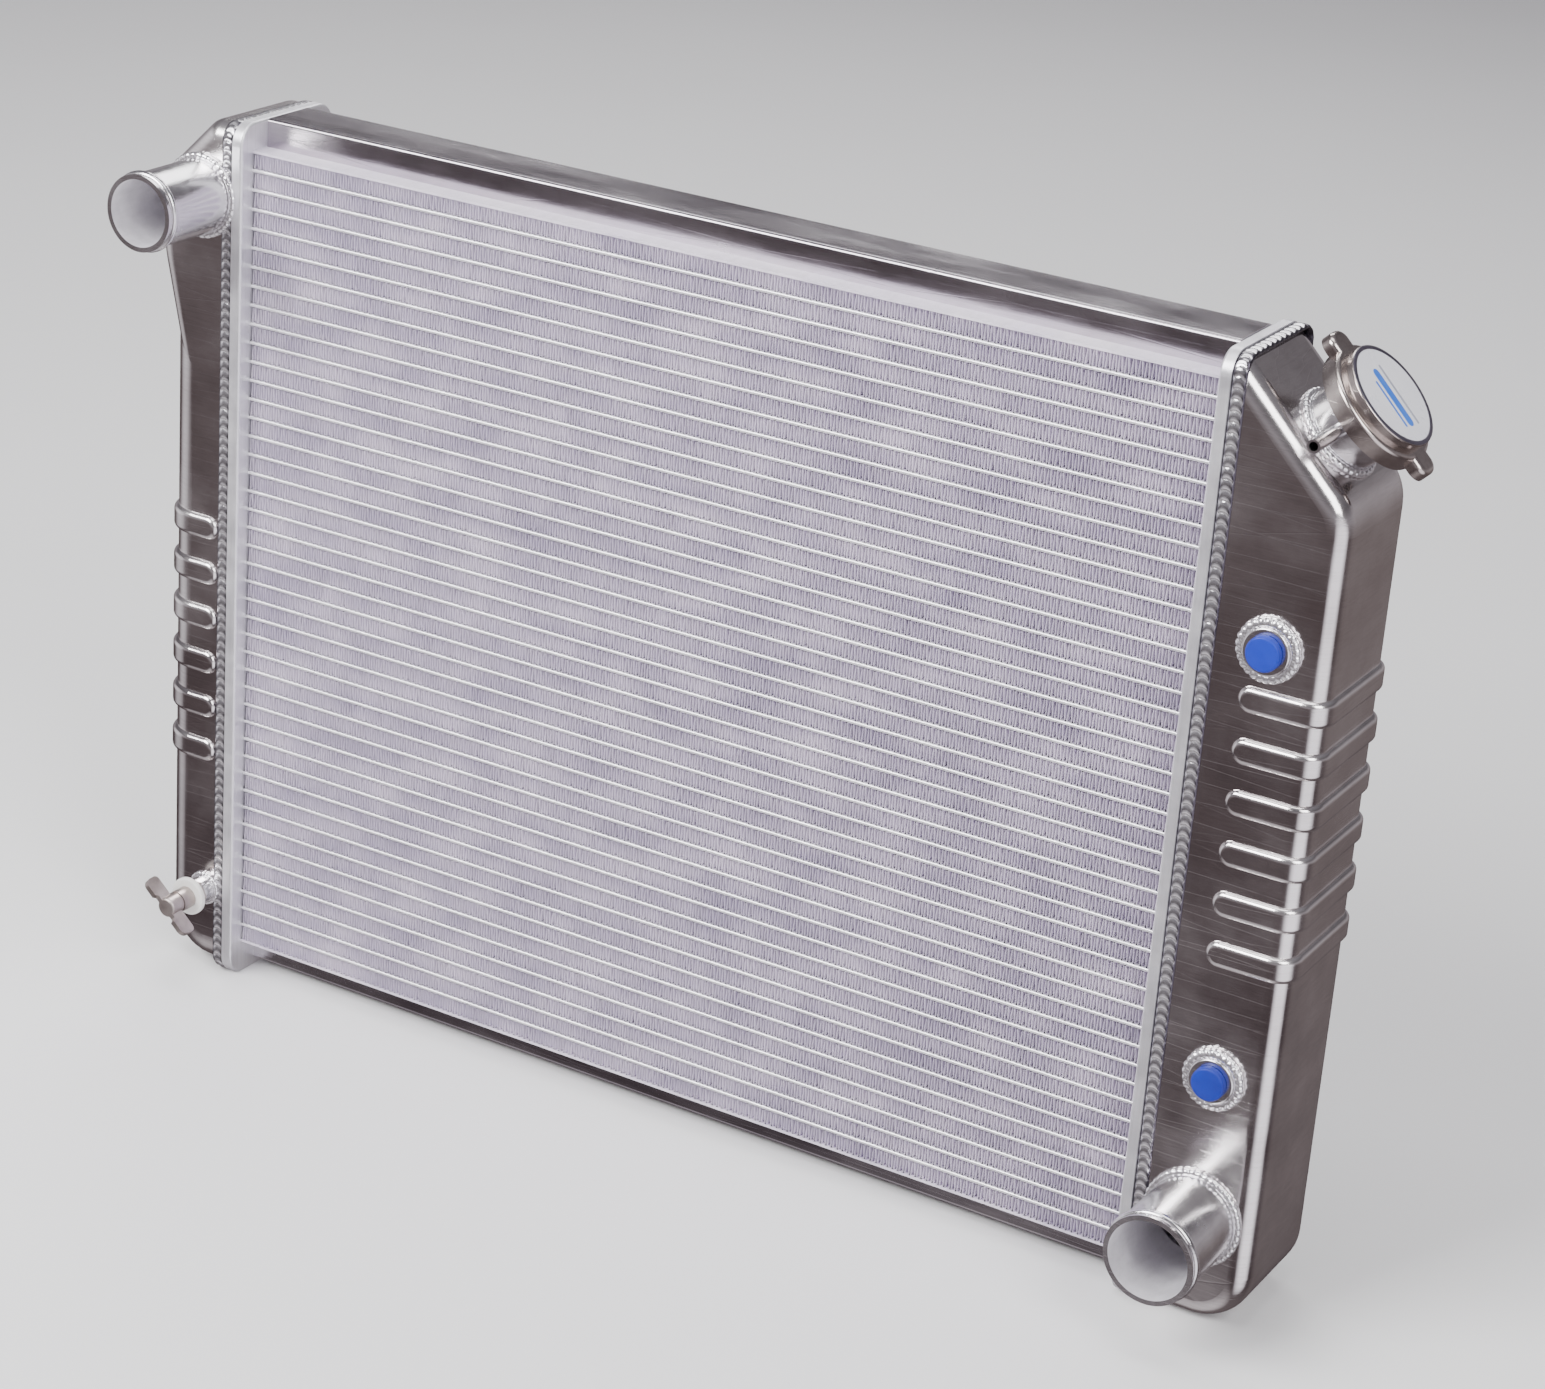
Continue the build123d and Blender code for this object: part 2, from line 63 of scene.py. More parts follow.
core_low, core_high = corners("cooling_fins")
core_centre = (core_low + core_high) / 2
core_front = Vector((core_centre.x, core_low.y, core_centre.z))
CAP_AXIS = Vector((1, 0, 1)).normalized()
DOWN_SLOPE = Vector((1, 0, -1)).normalized()
FRONT = Vector((0, -1, 0))
BACK = Vector((0, 1, 0))


# Camera, lights and stage -----------------------------------------------------------------

CAMERA_AZIMUTH = math.radians(29.19)
CAMERA_ELEVATION = math.radians(22.48)
CAMERA_ROLL = math.radians(4.25)
CAMERA_DISTANCE = 1.7945
CAMERA_LENS = 86.75
CAMERA_SENSOR = 36.0
CAMERA_NEAR = 0.05
CAMERA_AIM = Vector((0.0529, 0.0, 0.0124))

# Lamps: name, azimuth and elevation in degrees, distance, size, power in watts.
LAMPS = [
    ("key", -30, 38, 2.4, (1.5, 1.1), 84.0),
    ("fill", 58, 34, 2.8, (1.2, 1.6), 48.0),
    ("top", 8, 82, 2.4, (1.6, 0.9), 20.0),
    ("back", 205, 42, 2.8, (1.6, 1.0), 24.0),
]

# Tone of the room by height: 0 is straight down, 0.5 level, 1 straight up.
ROOM = [
    (0.0, (0.16, 0.135, 0.14)),
    (0.27, (0.075, 0.058, 0.064)),
    (0.34, (0.13, 0.105, 0.108)),
    (0.46, (0.26, 0.235, 0.25)),
    (0.54, (0.34, 0.315, 0.34)),
    (0.70, (0.13, 0.12, 0.13)),
    (1.0, (0.30, 0.29, 0.32)),
]

# Brighter patches of the room: azimuth, elevation, half angle of the bright part and of its edge, colour.
WALLS = [
    (60, -20, 17, 36, (1.6, 1.57, 1.68)),
    (-78, -5, 12, 30, (0.75, 0.74, 0.78)),
    (150, -15, 14, 40, (0.08, 0.072, 0.07)),
    (-30, -62, 16, 34, (0.55, 0.53, 0.55)),
]

FLOOR_HALF = 6.0
FLOOR_COLOUR = (0.95, 0.95, 0.955)
FLOOR_ROUGHNESS = 0.9
BLACK = (0, 0, 0)
WHITE = (1, 1, 1)

# Places of the colour inputs and output on Blender's mix node.
MIX_FIRST = 6
MIX_SECOND = 7
MIX_RESULT = 2


def direction(azimuth, elevation):
    """Unit vector from the object towards something at that azimuth and elevation."""
    flat = math.cos(elevation)
    return Vector((flat * math.sin(azimuth), -flat * math.cos(azimuth), math.sin(elevation)))


def make_camera():
    data = bpy.data.cameras.new("camera")
    data.lens = CAMERA_LENS
    data.sensor_width = CAMERA_SENSOR
    data.clip_start = CAMERA_NEAR
    camera = bpy.data.objects.new("camera", data)
    bpy.context.scene.collection.objects.link(camera)
    towards = direction(CAMERA_AZIMUTH, CAMERA_ELEVATION)
    camera.location = core_front + CAMERA_AIM + towards * CAMERA_DISTANCE
    level = (-towards).to_track_quat("-Z", "Y")
    camera.rotation_mode = "QUATERNION"
    camera.rotation_quaternion = level @ Quaternion((0, 0, 1), CAMERA_ROLL)
    bpy.context.scene.camera = camera


def make_lamp(name, azimuth, elevation, distance, size, power):
    data = bpy.data.lights.new(name, "AREA")
    data.shape = "RECTANGLE"
    data.size, data.size_y = size
    data.energy = power
    lamp = bpy.data.objects.new(name, data)
    bpy.context.scene.collection.objects.link(lamp)
    towards = direction(math.radians(azimuth), math.radians(elevation))
    lamp.location = core_centre + towards * distance
    lamp.rotation_mode = "QUATERNION"
    lamp.rotation_quaternion = (-towards).to_track_quat("-Z", "Y")


def colour_ramp(tree, value, stops):
    """Colour read from a value through stops of place and colour."""
    ramp = tree.nodes.new("ShaderNodeValToRGB")
    band = ramp.color_ramp
    while len(band.elements) < len(stops):
        band.elements.new(0.5)
    for element, (place, colour) in zip(band.elements, stops):
        element.position = place
        element.color = (*colour, 1.0)
    tree.links.new(value, ramp.inputs["Fac"])
    return ramp.outputs["Color"]


def make_world():
    """A dim room with a bright wall to the right, so that bare metal has something to mirror."""
    world = bpy.data.worlds.new("room")
    bpy.context.scene.world = world
    world.use_nodes = True
    tree = world.node_tree
    tree.nodes.clear()
    out = tree.nodes.new("ShaderNodeOutputWorld")
    back = tree.nodes.new("ShaderNodeBackground")
    coords = tree.nodes.new("ShaderNodeTexCoord")
    split = tree.nodes.new("ShaderNodeSeparateXYZ")
    height = tree.nodes.new("ShaderNodeMath")
    height.operation = "MULTIPLY_ADD"
    height.inputs[1].default_value = 0.5
    height.inputs[2].default_value = 0.5
    tree.links.new(coords.outputs["Generated"], split.inputs[0])
    tree.links.new(split.outputs["Z"], height.inputs[0])
    total = colour_ramp(tree, height.outputs[0], ROOM)
    for azimuth, elevation, inner, outer, colour in WALLS:
        facing = tree.nodes.new("ShaderNodeVectorMath")
        facing.operation = "DOT_PRODUCT"
        facing.inputs[1].default_value = direction(math.radians(azimuth), math.radians(elevation))
        tree.links.new(coords.outputs["Generated"], facing.inputs[0])
        wall = colour_ramp(tree, facing.outputs["Value"], [
            (math.cos(math.radians(outer)), BLACK),
            (math.cos(math.radians(inner)), colour),
        ])
        add = tree.nodes.new("ShaderNodeMix")
        add.data_type = "RGBA"
        add.blend_type = "ADD"
        add.inputs[0].default_value = 1.0
        tree.links.new(total, add.inputs[MIX_FIRST])
        tree.links.new(wall, add.inputs[MIX_SECOND])
        total = add.outputs[MIX_RESULT]
    tree.links.new(total, back.inputs["Color"])
    tree.links.new(back.outputs[0], out.inputs["Surface"])
    back.inputs["Strength"].default_value = 1.0


def make_floor():
    """Matt white floor that the metal doesn't mirror."""
    mesh = bpy.data.meshes.new("floor")
    half = FLOOR_HALF
    points = [(-half, -half, 0), (half, -half, 0), (half, half, 0), (-half, half, 0)]
    mesh.from_pydata(points, [], [(0, 1, 2, 3)])
    floor = bpy.data.objects.new("floor", mesh)
    bpy.context.scene.collection.objects.link(floor)
    mesh.materials.append(floor_paint())
    floor.visible_glossy = False


# Materials --------------------------------------------------------------------------------

# Part of a noise texture's range that its values mostly lie in.
NOISE_LOW = 0.3
NOISE_HIGH = 0.7

# Crossing scratches on metal: long thin cells whose edges are the cuts.
SCRATCH_CELLS = (7, 24, 120)
SCRATCH_WIDTH = 0.012
SCRATCH_DEPTH = 0.00006
SCRATCH_STRENGTH = 0.25

GRAIN_SHADOW = (0.72, 0.70, 0.70)
CREASE_SHADOW = (0.10, 0.09, 0.11)
WAVE_CELLS = (11, 11, 17)


class Shader:
    """A Principled material and short calls for the nodes that drive it."""

    def __init__(self, name, roughness, metallic=0.0):
        self.material = bpy.data.materials.new(name)
        self.material.use_nodes = True
        self.tree = self.material.node_tree
        self.body = self.tree.nodes["Principled BSDF"]
        self.body.inputs["Roughness"].default_value = roughness
        self.body.inputs["Metallic"].default_value = metallic
        self.coords = self.add("ShaderNodeTexCoord").outputs["Object"]

    def add(self, kind, **values):
        node = self.tree.nodes.new(kind)
        for key, value in values.items():
            setattr(node, key, value)
        return node

    def link(self, source, target):
        self.tree.links.new(source, target)

    def stretched(self, scale):
        node = self.add("ShaderNodeMapping")
        node.inputs["Scale"].default_value = scale
        self.link(self.coords, node.inputs["Vector"])
        return node.outputs["Vector"]

    def noise(self, scale, detail=4.0, roughness=0.55):
        node = self.add("ShaderNodeTexNoise")
        node.inputs["Scale"].default_value = 1.0
        node.inputs["Detail"].default_value = detail
        node.inputs["Roughness"].default_value = roughness
        self.link(self.stretched(scale), node.inputs["Vector"])
        return node.outputs["Fac"]

    def ramp(self, value, stops):
        return colour_ramp(self.tree, value, stops)

    def span(self, value, low, high):
        """A noise value spread over low to high."""
        node = self.add("ShaderNodeMapRange")
        node.inputs["From Min"].default_value = NOISE_LOW
        node.inputs["From Max"].default_value = NOISE_HIGH
        node.inputs["To Min"].default_value = low
        node.inputs["To Max"].default_value = high
        self.link(value, node.inputs["Value"])
        return node.outputs["Result"]

    def multiply(self, share, first, second):
        node = self.add("ShaderNodeMix", data_type="RGBA", blend_type="MULTIPLY")
        node.inputs[0].default_value = share
        self.link(first, node.inputs[MIX_FIRST])
        self.link(second, node.inputs[MIX_SECOND])
        return node.outputs[MIX_RESULT]

    def bump(self, height, distance, strength=1.0, under=None):
        node = self.add("ShaderNodeBump")
        node.inputs["Distance"].default_value = distance
        node.inputs["Strength"].default_value = strength
        self.link(height, node.inputs["Height"])
        if under is not None:
            self.link(under, node.inputs["Normal"])
        return node.outputs["Normal"]


def floor_paint():
    """Matt paint with a faint mottle."""
    shader = Shader("floor_paint", FLOOR_ROUGHNESS)
    dark = tuple(value * 0.985 for value in FLOOR_COLOUR)
    tone = shader.ramp(shader.noise((3, 3, 3)), [(0.35, dark), (0.65, FLOOR_COLOUR)])
    shader.link(tone, shader.body.inputs["Base Color"])
    return shader.material


def metal(name, light, dark, rough, grain, depth, metallic=1.0, mottle=(60, 60, 60), streaks=0.3,
          wave=0.0, crease_shade=False):
    """Sheet metal: a brushed grain stretched along one axis, cloudy tone and sparse crossing scratches.

    rough is the smallest and the largest roughness, grain the cells of the brushing and depth its
    relief; wave is the depth of the slow ripple of a hand-polished sheet; the crease option darkens inside
    corners with painted shade.
    """
    shader = Shader(name, rough[0], metallic)
    lines = shader.noise(grain, 3.0, 0.6)
    clouds = shader.noise(mottle, 5.0, 0.6)
    tone = shader.ramp(clouds, [(0.32, dark), (0.68, light)])
    streak = shader.ramp(lines, [(0.25, GRAIN_SHADOW), (0.55, WHITE)])
    colour = shader.multiply(streaks, tone, streak)
    # Painted shade: inside corners, found by pointiness, get a darker colour.
    if crease_shade:
        point = shader.add("ShaderNodeNewGeometry").outputs["Pointiness"]
        shade = shader.ramp(point, [(0.46, CREASE_SHADOW), (0.51, WHITE)])
        colour = shader.multiply(1.0, colour, shade)
    shader.link(colour, shader.body.inputs["Base Color"])
    shader.link(shader.span(clouds, rough[0], rough[1]), shader.body.inputs["Roughness"])
    normal = shader.bump(lines, depth)
    cells = shader.add("ShaderNodeTexVoronoi", feature="DISTANCE_TO_EDGE")
    cells.inputs["Scale"].default_value = 1.0
    shader.link(shader.stretched(SCRATCH_CELLS), cells.inputs["Vector"])
    cut = shader.ramp(cells.outputs["Distance"], [(0.0, BLACK), (SCRATCH_WIDTH, WHITE)])
    normal = shader.bump(cut, SCRATCH_DEPTH, SCRATCH_STRENGTH, normal)
    if wave:
        normal = shader.bump(shader.noise(WAVE_CELLS, 1.5, 0.45), wave, 1.0, normal)
    shader.link(normal, shader.body.inputs["Normal"])
    return shader.material


def moulded(name, light, dark, roughness, grain=900.0, depth=0.00003):
    """Moulded plastic, rubber or print: fine grain, a slight change of tone and uneven gloss."""
    shader = Shader(name, roughness)
    tone = shader.ramp(shader.noise((40, 40, 40)), [(0.35, dark), (0.65, light)])
    shader.link(tone, shader.body.inputs["Base Color"])
    grain_height = shader.noise((grain, grain, grain), 2.0)
    shader.link(shader.bump(grain_height, depth), shader.body.inputs["Normal"])
    shader.link(shader.span(shader.noise((120, 120, 120)), roughness * 0.8, roughness * 1.2),
                shader.body.inputs["Roughness"])
    return shader.material


# Grain of rolled sheet, in cells per metre: long along the core's width, or long upwards.
ACROSS = (40, 900, 900)
UPRIGHT = (900, 900, 30)


def make_metals():
    return {
        "fin": metal("fin_aluminium", (0.96, 0.90, 1.0), (0.78, 0.72, 0.86), rough=(0.45, 0.65),
                     grain=(300, 60, 60), depth=0.00002, metallic=0.30, mottle=(25, 25, 55)),
        "tube": metal("tube_aluminium", (0.98, 0.97, 1.0), (0.88, 0.87, 0.92), rough=(0.25, 0.4),
                      grain=ACROSS, depth=0.00001, metallic=0.6),
        "header": metal("header_aluminium", (0.93, 0.92, 0.96), (0.80, 0.79, 0.84), rough=(0.32, 0.5),
                        grain=UPRIGHT, depth=0.00003, metallic=0.75),
        "channel": metal("channel_aluminium", (0.58, 0.55, 0.58), (0.34, 0.31, 0.34), rough=(0.14, 0.3),
                         grain=ACROSS, depth=0.00003, mottle=(9, 30, 30), wave=0.0008),
        "tank": metal("tank_aluminium", (0.90, 0.87, 0.87), (0.66, 0.62, 0.62), rough=(0.10, 0.26),
                      grain=(60, 60, 1100), depth=0.000012, mottle=(14, 14, 18), streaks=0.28, wave=0.0011),
        "tube_stock": metal("neck_aluminium", (0.88, 0.87, 0.89), (0.74, 0.72, 0.74), rough=(0.14, 0.28),
                            grain=(500, 60, 500), depth=0.00003),
        "neck_inside": metal("neck_inside_aluminium", (0.80, 0.78, 0.82), (0.62, 0.60, 0.64),
                             rough=(0.5, 0.7), grain=(300, 60, 300), depth=0.00005, metallic=0.25),
        # The weld's inside corners get painted shade.
        "weld": metal("weld_aluminium", (0.98, 0.97, 1.0), (0.84, 0.82, 0.86), rough=(0.14, 0.28),
                      grain=(400, 400, 400), depth=0.00003, metallic=0.9, crease_shade=True),
        "steel": metal("cap_stainless", (0.66, 0.60, 0.57), (0.50, 0.44, 0.42), rough=(0.16, 0.3),
                       grain=(260, 260, 260), depth=0.00002),
        "nickel": metal("petcock_nickel", (0.60, 0.54, 0.52), (0.36, 0.30, 0.28), rough=(0.25, 0.45),
                        grain=(220, 220, 220), depth=0.00005, metallic=0.9),
    }


def make_plastics():
    return {
        "blue": moulded("plug_plastic", (0.0, 0.022, 0.40), (0.0, 0.012, 0.26), 0.5),
        "white": moulded("washer_plastic", (0.88, 0.87, 0.84), (0.72, 0.70, 0.67), 0.45),
        "label": moulded("label_paper", (0.88, 0.88, 0.93), (0.82, 0.82, 0.88), 0.3, 400.0, 0.00001),
        "ink_blue": moulded("ink_blue", (0.03, 0.16, 0.70), (0.08, 0.24, 0.78), 0.4),
        "ink_grey": moulded("ink_grey", (0.36, 0.37, 0.45), (0.48, 0.49, 0.57), 0.4),
        # Black for the ring over the cap label's gap, which is painted shade.
        "gap_shade_black": moulded("gap_shade_black", (0.035, 0.03, 0.045), (0.06, 0.05, 0.07), 0.35),
        "rubber": moulded("rubber", (0.035, 0.035, 0.035), (0.02, 0.02, 0.02), 0.6),
    }


FINISH = {
    "fin": ["cooling_fins", "top_side_plate", "bottom_side_plate"],
    "tube": ["front_tubes", "rear_tubes"],
    "header": ["left_header", "right_header"],
    "channel": ["top_channel", "bottom_channel"],
    "tank": ["left_tank", "right_tank"],
    "tube_stock": ["upper_hose_neck", "lower_hose_neck", "filler_neck", "overflow_nipple", "oil_cooler",
                   "upper_cooler_port", "lower_cooler_port", "drain_bung"],
    "weld": ["left_seam_weld", "right_seam_weld", "upper_neck_weld", "lower_neck_weld", "upper_port_weld",
             "lower_port_weld", "filler_weld", "drain_weld"],
    "steel": ["cap_shell", "cap_diaphragm", "cap_rivet", "pressure_valve", "valve_spring"],
    "nickel": ["petcock_body", "petcock_stem", "petcock_handle"],
    "blue": ["upper_port_plug", "lower_port_plug"],
    "white": ["petcock_washer"],
    "label": ["cap_label"],
    "rubber": ["cap_gasket", "valve_seal"],
}
FACES_AXIS = -0.5


def paint_nodes(materials):
    for finish, names in FINISH.items():
        for name in names:
            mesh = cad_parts[name].data
            mesh.materials.clear()
            mesh.materials.append(materials[finish])
    for name in ("upper_hose_neck", "lower_hose_neck"):
        dull_inside(name, materials["neck_inside"])


def dull_inside(name, material):
    """The bore of a hose neck keeps the dull grey of drawn tube."""
    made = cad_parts[name]
    middle = centre(name)
    made.data.materials.append(material)
    for face in made.data.polygons:
        away = made.matrix_world @ face.center - middle
        away.y = 0.0
        if away.dot(made.matrix_world.to_3x3() @ face.normal) < FACES_AXIS * away.length:
            face.material_index = 1


# Mesh helpers -----------------------------------------------------------------------------

SHARP_ANGLE = math.radians(24)


def smooth_nodes():
    """CAD meshes are shaded smooth over their rounds and flat over their sharp edges."""
    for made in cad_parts.values():
        made.data.polygons.foreach_set("use_smooth", [True] * len(made.data.polygons))
        made.data.set_sharp_from_angle(angle=SHARP_ANGLE)


def piece(name, points, faces, material, body, smooth=True):
    mesh = bpy.data.meshes.new(name)
    mesh.from_pydata([tuple(point) for point in points], [], faces)
    mesh.polygons.foreach_set("use_smooth", [smooth] * len(mesh.polygons))
    mesh.materials.append(material)
    mesh.update()
    made = bpy.data.objects.new(name, mesh)
    bpy.context.scene.collection.objects.link(made)
    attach(made, body)
    return made


def grid_faces(rows, columns, close_rows, close_columns):
    """Quads over a grid of points, joined end to end where asked."""
    faces = []
    for i in range(rows if close_rows else rows - 1):
        for j in range(columns if close_columns else columns - 1):
            a = i * columns + j
            b = i * columns + (j + 1) % columns
            c = (i + 1) % rows * columns + (j + 1) % columns
            d = (i + 1) % rows * columns + j
            faces.append((a, b, c, d))
    return faces


def axis_frame(axis):
    """Two unit vectors across an axis."""
    side = axis.cross(Vector((0.3, 0.2, 1.0))).normalized()
    return side, axis.cross(side).normalized()


# Fins -------------------------------------------------------------------------------------

TUBE_ROWS = 43
FIN_HEIGHT = 8.0 * MM
FIN_LEG = 1.6 * MM
FIN_CREST = 1.05 * MM
FIN_SHEET = 0.12 * MM
FIN_SETBACK = 0.25 * MM
FIN_WANDER = 0.22 * MM
FIN_MEMORY = 0.7
FIN_SEED = 7


def fin_path(width, height, chance):
    """Folds across the core: flat crests joined by steep legs, no two quite alike."""
    count = int(width / FIN_LEG)
    step = width / count
    path = []
    drift = 0.0
    for i in range(count):
        level = height if i % 2 else -height
        drift = drift * FIN_MEMORY + chance.uniform(-FIN_WANDER, FIN_WANDER)
        start = i * step + drift
        path.append((min(max(start, 0.0), width - FIN_CREST), level))
        path.append((min(max(start + FIN_CREST, 0.0), width), level))
    return path


def make_fins(material):
    """One dense folded strip between each pair of tube rows, in place of the CAD's coarse folds."""
    chance = random.Random(FIN_SEED)
    row_pitch = (core_high.z - core_low.z - FIN_HEIGHT) / TUBE_ROWS
    front = core_low.y + FIN_SETBACK
    back = core_high.y - FIN_SETBACK
    half_sheet = FIN_SHEET / 2
    section = ((front, half_sheet), (back, half_sheet), (back, -half_sheet), (front, -half_sheet))
    points = []
    faces = []
    for row in range(TUBE_ROWS + 1):
        path = fin_path(core_high.x - core_low.x, FIN_HEIGHT / 2 - FIN_SHEET, chance)
        middle = core_low.z + FIN_HEIGHT / 2 + row * row_pitch
        base = len(points)
        last = base + len(section) * (len(path) - 1)
        for x, z in path:
            points += [(core_low.x + x + offset, y, middle + z) for y, offset in section]
        sides = grid_faces(len(path), len(section), False, True)
        faces += [tuple(base + index for index in face) for face in sides]
        faces.append((base, base + 3, base + 2, base + 1))
        faces.append((last, last + 1, last + 2, last + 3))
    fins = piece("dense_fins", points, faces, material, "root", smooth=False)
    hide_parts("cooling_fins")


# Welds ------------------------------------------------------------------------------------

# Pools of a weld: how far a pool bows forwards, the part of a sine arch it takes and its lowest point.
POOL_BOW = 0.45
POOL_SPAN = 0.72
POOL_START = 0.16
POOL_FULLNESS = 0.9
POOL_VALLEY = 0.12

# Bead between header and tank.
SEAM_CORNER = 10.5 * MM
SEAM_RISE = 1.5 * MM
SEAM_ROOT = 0.6 * MM
SEAM_PITCH = 5.2 * MM
SEAM_STEP = 0.55 * MM
SEAM_COLUMNS = 11
SEAM_ROUNDNESS = 0.92
SEAM_HEIGHTS = (0.82, 1.0)
SEAM_DRAWS = 97
SEAM_SEEDS = {"left": 11, "right": 12}

# Fillet welds round stubs.
RING_STEPS = 10
RING_COLUMNS = 9
RING_SINK = 0.2 * MM
RING_TALL = 0.9
RING_SIZE = 0.80
RING_SWELL = 0.28
RING_HEIGHTS = (0.85, 1.1)
RING_DRAWS = 61
RING_LEAST_POOLS = 8

# Stubs on the tanks' front faces: name, weld, radius, weld width, length of a pool, seed.
STUBS = [
    ("upper_hose_neck", "upper_neck_weld", 19.05 * MM, 3.5 * MM, 3.6 * MM, 21),
    ("lower_hose_neck", "lower_neck_weld", 22.225 * MM, 3.5 * MM, 3.6 * MM, 22),
    ("upper_cooler_port", "upper_port_weld", 11.5 * MM, 4.8 * MM, 3.4 * MM, 23),
    ("lower_cooler_port", "lower_port_weld", 11.5 * MM, 4.8 * MM, 3.4 * MM, 24),
    ("drain_bung", "drain_weld", 7.5 * MM, 2.4 * MM, 2.6 * MM, 25),
]

# Filler neck on the right tank's slope.
FILLER_RADIUS = 20.0 * MM
FILLER_WELD_WIDTH = 3.5 * MM
FILLER_POOL = 3.6 * MM
FILLER_SEED = 26
LABEL_ABOVE_SLOPE = 32.0 * MM


def rounded_loop(low, high, radius, step):
    """Points and outward directions round a rectangle with round corners, in the YZ plane."""
    loop = []
    middles = [
        (high.y - radius, high.z - radius, 0.0),
        (low.y + radius, high.z - radius, 0.5 * math.pi),
        (low.y + radius, low.z + radius, math.pi),
        (high.y - radius, low.z + radius, 1.5 * math.pi),
    ]
    for index, (y, z, turn) in enumerate(middles):
        arc_steps = max(6, int(0.5 * math.pi * radius / step))
        for i in range(arc_steps + 1):
            angle = turn + 0.5 * math.pi * i / arc_steps
            out = Vector((0, math.cos(angle), math.sin(angle)))
            loop.append((Vector((0, y, z)) + out * radius, out))
        following = middles[(index + 1) % len(middles)]
        start, out = loop[-1]
        end = Vector((0, following[0], following[1])) + out * radius
        run_steps = max(2, int((end - start).length / step))
        loop += [(start.lerp(end, i / run_steps), out) for i in range(1, run_steps)]
    return loop


def pool_heights(seed, count, limits):
    """Uneven heights for the pools of one weld."""
    chance = random.Random(seed)
    return [chance.uniform(*limits) for _ in range(count)]


def ripple(distance, across, pitch, heights):
    """Height of a weld along its length, 0 to about 1: overlapping round-fronted pools."""
    phase = (distance + POOL_BOW * pitch * (1 - across * across)) / pitch
    pool = math.floor(phase)
    arch = math.sin(math.pi * min((phase - pool) * POOL_SPAN + POOL_START, 1.0)) ** POOL_FULLNESS
    return (POOL_VALLEY + (1 - POOL_VALLEY) * arch) * heights[pool % len(heights)]


def make_seam(side, material):
    """Stack-of-coins bead round the joint between header and tank."""
    node = f"{side}_seam_weld"
    low, high = corners(node)
    heights = pool_heights(SEAM_SEEDS[side], SEAM_DRAWS, SEAM_HEIGHTS)
    loop = rounded_loop(low, high, SEAM_CORNER, SEAM_STEP)
    half = (high.x - low.x) / 2
    middle = (high.x + low.x) / 2
    points = []
    distance = 0.0
    previous = loop[0][0]
    for place, out in loop:
        distance += (place - previous).length
        previous = place
        for j in range(SEAM_COLUMNS):
            across = 2 * j / (SEAM_COLUMNS - 1) - 1
            crown = math.sqrt(max(0.0, 1 - across * across * SEAM_ROUNDNESS))
            height = SEAM_RISE * crown * ripple(distance, across, SEAM_PITCH, heights)
            point = place - out * (SEAM_RISE - height)
            points.append((middle + across * half, point.y, point.z))
        inner = place - out * (SEAM_RISE + SEAM_ROOT)
        points.append((middle + half, inner.y, inner.z))
        points.append((middle - half, inner.y, inner.z))
    faces = grid_faces(len(loop), SEAM_COLUMNS + 2, True, True)
    bead = piece(f"{side}_seam_bead", points, faces, material, "root")
    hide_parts(node)


def make_ring_weld(node, base, axis, radius, width, pitch, seed, material):
    """Rippled fillet weld round a stub that stands on a flat face at base."""
    pools = max(RING_LEAST_POOLS, round(2 * math.pi * (radius + width / 2) / pitch))
    heights = pool_heights(seed, RING_DRAWS, RING_HEIGHTS)[:pools]
    around = pools * RING_STEPS
    root = radius - RING_SINK
    side, up = axis_frame(axis)
    points = []
    for i in range(around):
        angle = 2 * math.pi * i / around
        out = side * math.cos(angle) + up * math.sin(angle)
        for j in range(RING_COLUMNS):
            share = j / (RING_COLUMNS - 1)
            swell = ripple(i / RING_STEPS * pitch, 2 * share - 1, pitch, heights)
            turn = 0.5 * math.pi * share
            size = RING_SIZE + RING_SWELL * swell * math.sin(math.pi * share)
            away = root + width * math.sin(turn) * size
            height = width * RING_TALL * math.cos(turn) * size
            points.append(base + out * away + axis * height)
        points.append(base + out * root - axis * RING_SINK)
    faces = grid_faces(around, RING_COLUMNS + 1, True, True)
    bead = piece(f"{node}_bead", points, faces, material, "root")
    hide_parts(node)


def make_welds(material):
    for side in SEAM_SEEDS:
        make_seam(side, material)
    tank_front = corners("right_seam_weld")[0].y + SEAM_RISE
    for stub, weld, radius, width, pitch, seed in STUBS:
        spot = centre(stub)
        base = Vector((spot.x, tank_front, spot.z))
        make_ring_weld(weld, base, FRONT, radius, width, pitch, seed, material)
    base = centre("cap_label") - CAP_AXIS * LABEL_ABOVE_SLOPE
    make_ring_weld("filler_weld", base, CAP_AXIS, FILLER_RADIUS, FILLER_WELD_WIDTH, FILLER_POOL,
                   FILLER_SEED, material)


# Cap label print and painted gap shade ----------------------------------------------------

LABEL_HALF_THICKNESS = 0.4 * MM
PRINT_THICKNESS = 0.06 * MM
BAR_END_STEPS = 8
GROOVE_STEPS = 96

# Section of the dark ring of painted shade over the gap: radius and height above the label's face, in
# millimetres.
GROOVE_MM = ((23.2, -0.3), (23.25, 0.12), (24.2, 0.2), (25.2, 0.12), (25.25, -0.3))

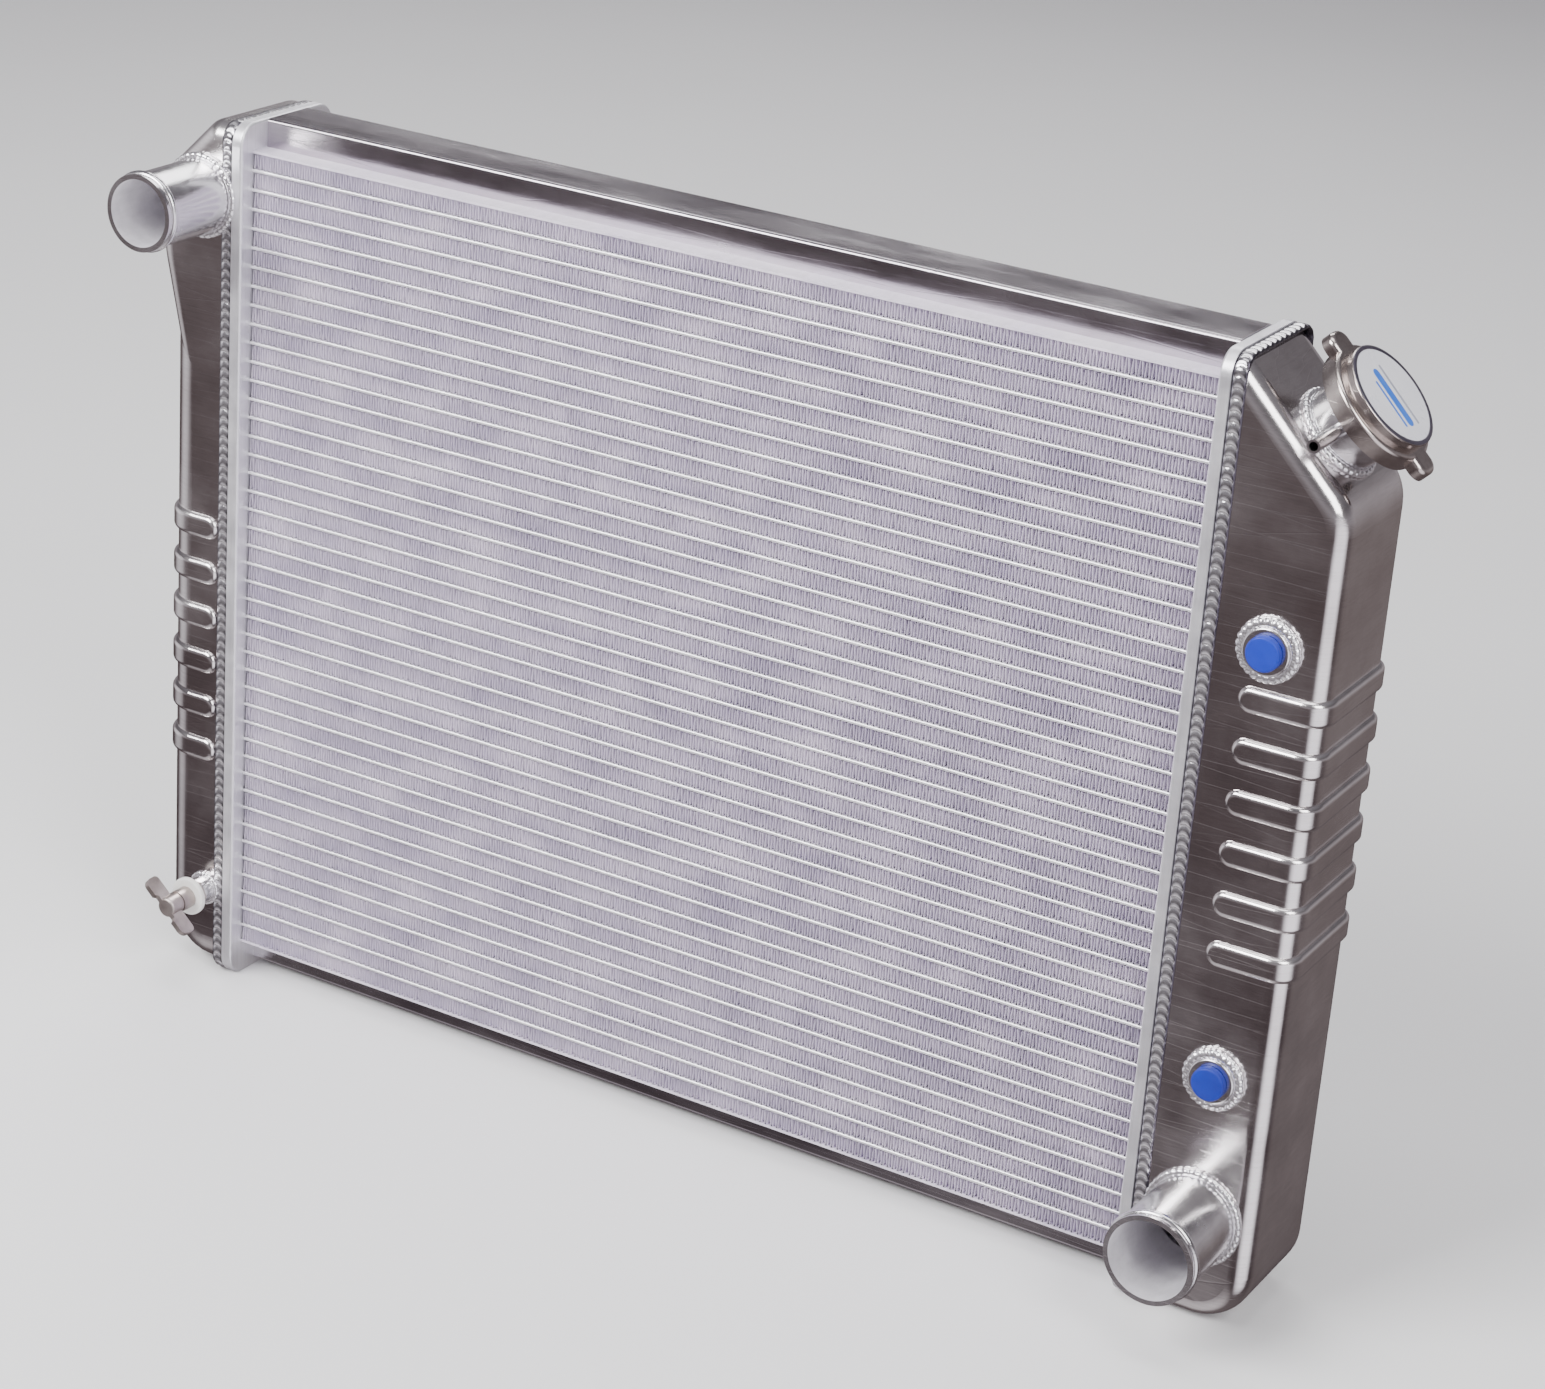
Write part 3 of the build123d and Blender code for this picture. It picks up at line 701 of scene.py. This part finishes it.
# Printed bars in millimetres: name, place towards the back and down the slope, half width, half
# length down the slope, ink.
BARS_MM = [
    ("label_band", -1.5, 1.0, 2.4, 15.0, "ink_blue"),
    ("label_line_upper", 4.6, 1.0, 0.8, 15.5, "ink_grey"),
    ("label_line_lower", -6.6, 3.0, 0.7, 12.0, "ink_blue"),
]


def label_bar(name, across, down, half_width, half_length, material):
    """Thin printed bar with round ends on the label."""
    spot = centre("cap_label") + CAP_AXIS * LABEL_HALF_THICKNESS
    ends = []
    for side in (1, -1):
        for i in range(BAR_END_STEPS + 1):
            angle = -0.5 * math.pi + math.pi * i / BAR_END_STEPS
            ends.append(Vector((side * (half_length - half_width + half_width * math.cos(angle)),
                                side * half_width * math.sin(angle))))
    points = []
    for lift in (0.0, PRINT_THICKNESS):
        for end in ends:
            points.append(spot + DOWN_SLOPE * (down + end.x) + BACK * (across + end.y) + CAP_AXIS * lift)
    count = len(ends)
    faces = [tuple(reversed(range(count))), tuple(range(count, 2 * count))]
    faces += [(i, (i + 1) % count, count + (i + 1) % count, count + i) for i in range(count)]
    piece(name, points, faces, material, "cap_shell", smooth=False)


def make_gap_shade_ring(material):
    """Dark ring over the gap between the label and the cap's raised rim: painted shade of the gap."""
    face = LABEL_HALF_THICKNESS / MM
    label = centre("cap_label")
    side, up = axis_frame(CAP_AXIS)
    points = []
    for i in range(GROOVE_STEPS):
        angle = 2 * math.pi * i / GROOVE_STEPS
        out = side * math.cos(angle) + up * math.sin(angle)
        for radius, height in GROOVE_MM:
            points.append(label + out * radius * MM + CAP_AXIS * (face + height) * MM)
    faces = grid_faces(GROOVE_STEPS, len(GROOVE_MM), True, True)
    piece("label_gap_shade", points, faces, material, "cap_shell")


def make_label(materials):
    # The dark ring is painted shade of the gap round the label.
    make_gap_shade_ring(materials["gap_shade_black"])
    for name, across, down, half_width, half_length, ink in BARS_MM:
        label_bar(name, across * MM, down * MM, half_width * MM, half_length * MM, materials[ink])


def main():
    materials = make_metals() | make_plastics()
    make_camera()
    make_world()
    make_floor()
    for lamp in LAMPS:
        make_lamp(*lamp)
    paint_nodes(materials)
    smooth_nodes()
    make_fins(materials["fin"])
    make_welds(materials["weld"])
    make_label(materials)


main()
